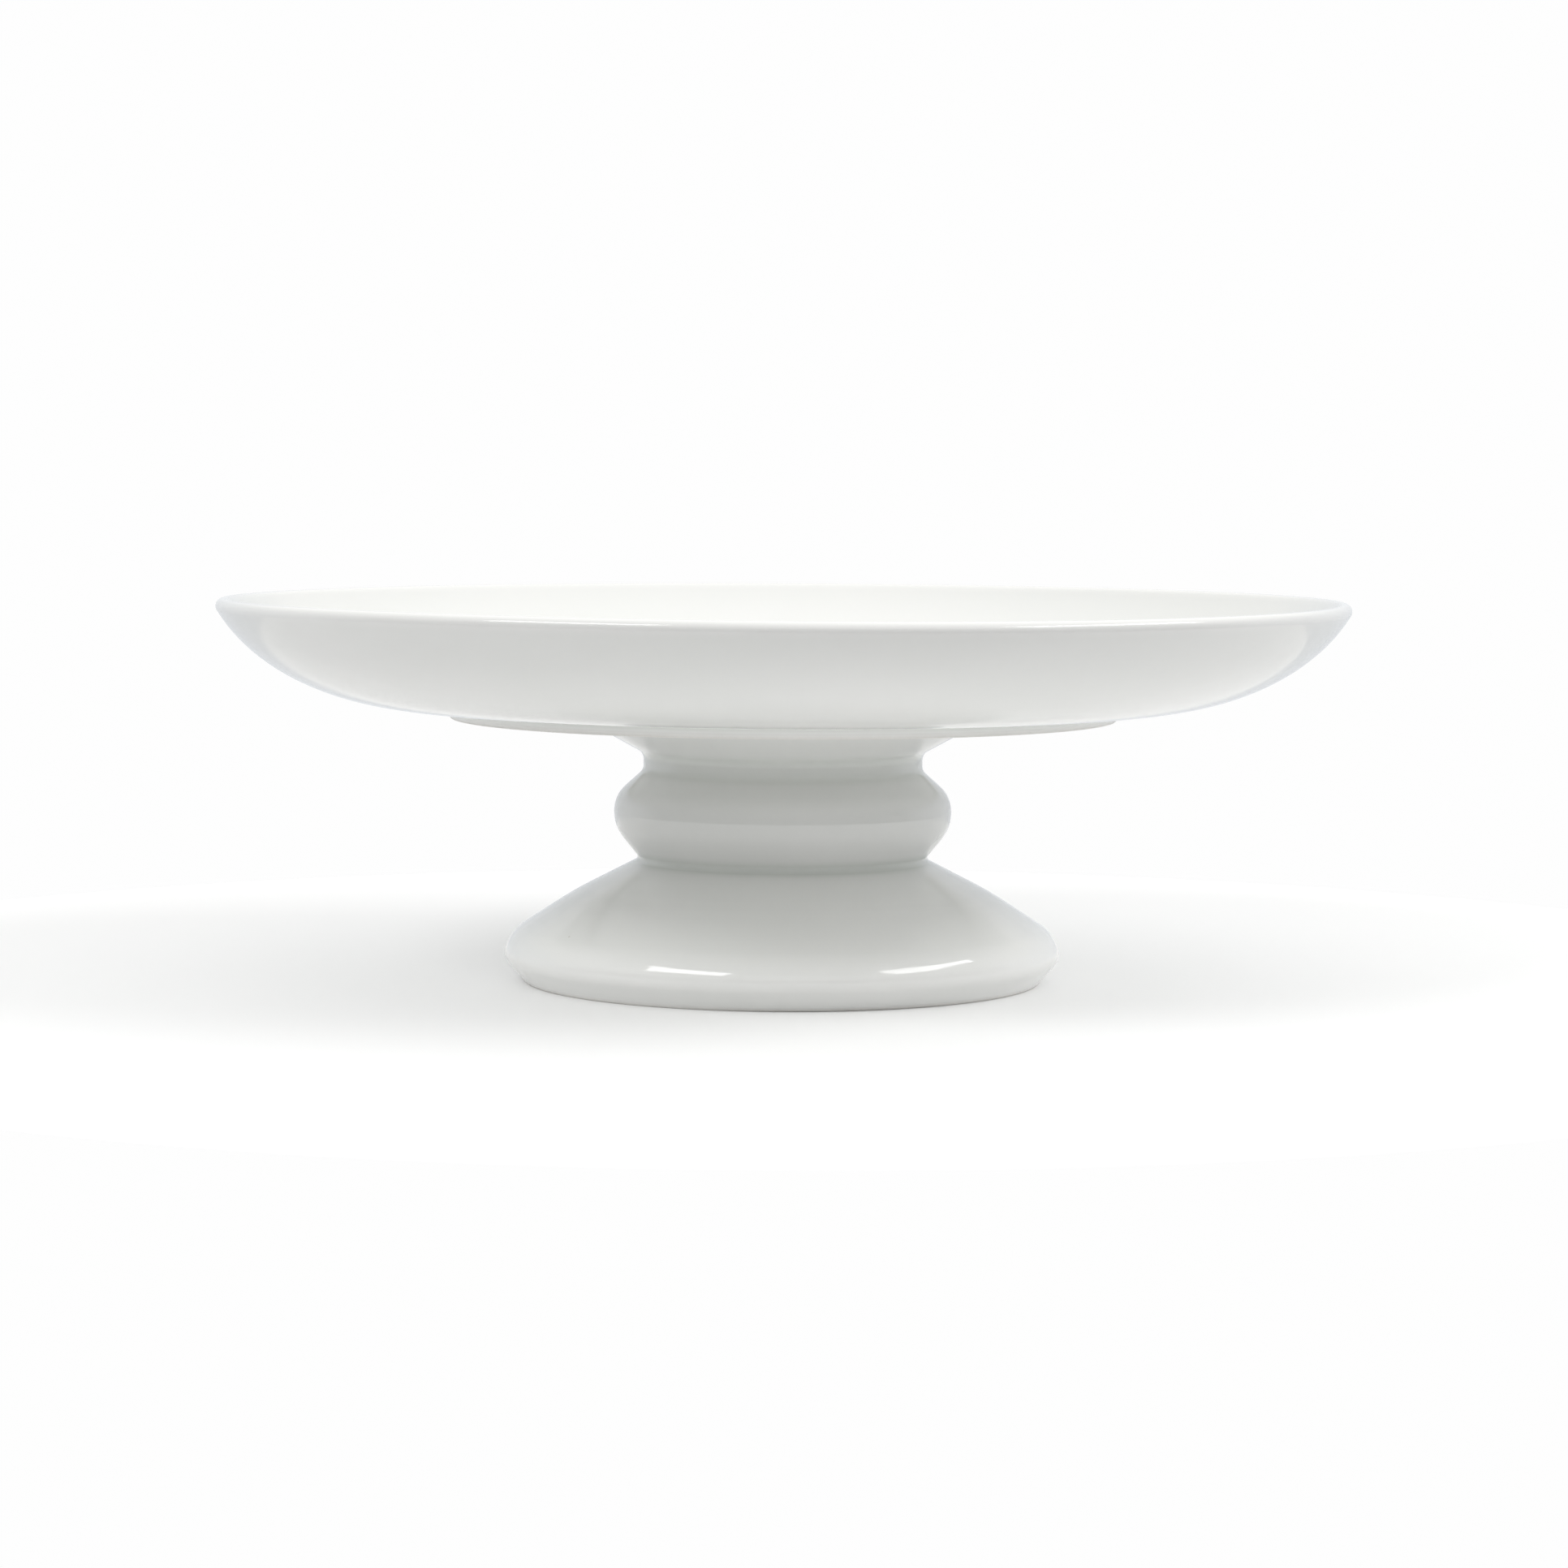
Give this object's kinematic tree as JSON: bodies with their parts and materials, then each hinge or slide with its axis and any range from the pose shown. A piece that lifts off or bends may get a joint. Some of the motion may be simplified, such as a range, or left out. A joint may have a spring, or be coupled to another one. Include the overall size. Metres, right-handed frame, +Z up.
{
  "type": "cake stand",
  "caption": "Low footed cake stand: a shallow round glazed dish clamped to a hollow turned pedestal by a hand screw from below.",
  "frame": {"origin": "centre of the foot, on the table", "axes": "+Z up along the stand's axis of revolution; +X and +Y level"},
  "size_m": [0.3, 0.3, 0.102],
  "materials": {
    "porcelain": "white porcelain under a clear gloss glaze",
    "silicone": "translucent white silicone rubber",
    "brass": "turned brass",
    "cement": "fine grey cement",
    "soft_rubber": "black rubber",
    "steel": "stainless steel, fine turned marks",
    "moulded_plastic": "white moulded nylon, fine grain"
  },
  "bodies": {
    "base": {"pedestal": "porcelain", "seat_gasket": "silicone", "cushion_washer": "soft_rubber"},
    "dish": {"plate": "porcelain", "threaded_insert": "brass", "insert_cement": "cement"},
    "washers": {"load_washer": "steel", "spring_washer": "steel"},
    "knob": {"clamp_screw": "steel", "screw_knob": "moulded_plastic"}
  },
  "joints": [
    {"name": "plate_lift", "type": "slide", "parent": "base", "child": "dish", "axis": [0, 0, 1], "range_m": [0, 0.1]},
    {"name": "screw_travel", "type": "slide", "parent": "base", "child": "washers", "axis": [0, 0, -1], "range_m": [0, 0.01125]},
    {"name": "knob_turn", "type": "hinge", "parent": "washers", "child": "knob", "pos_m": [0, 0, 0.04], "axis": [0, 0, -1], "range_deg": [0, 3240]}
  ],
  "couplings": [
    {"joint": "screw_travel", "follows": "knob_turn", "m_per_rad": 0.00019894}
  ]
}
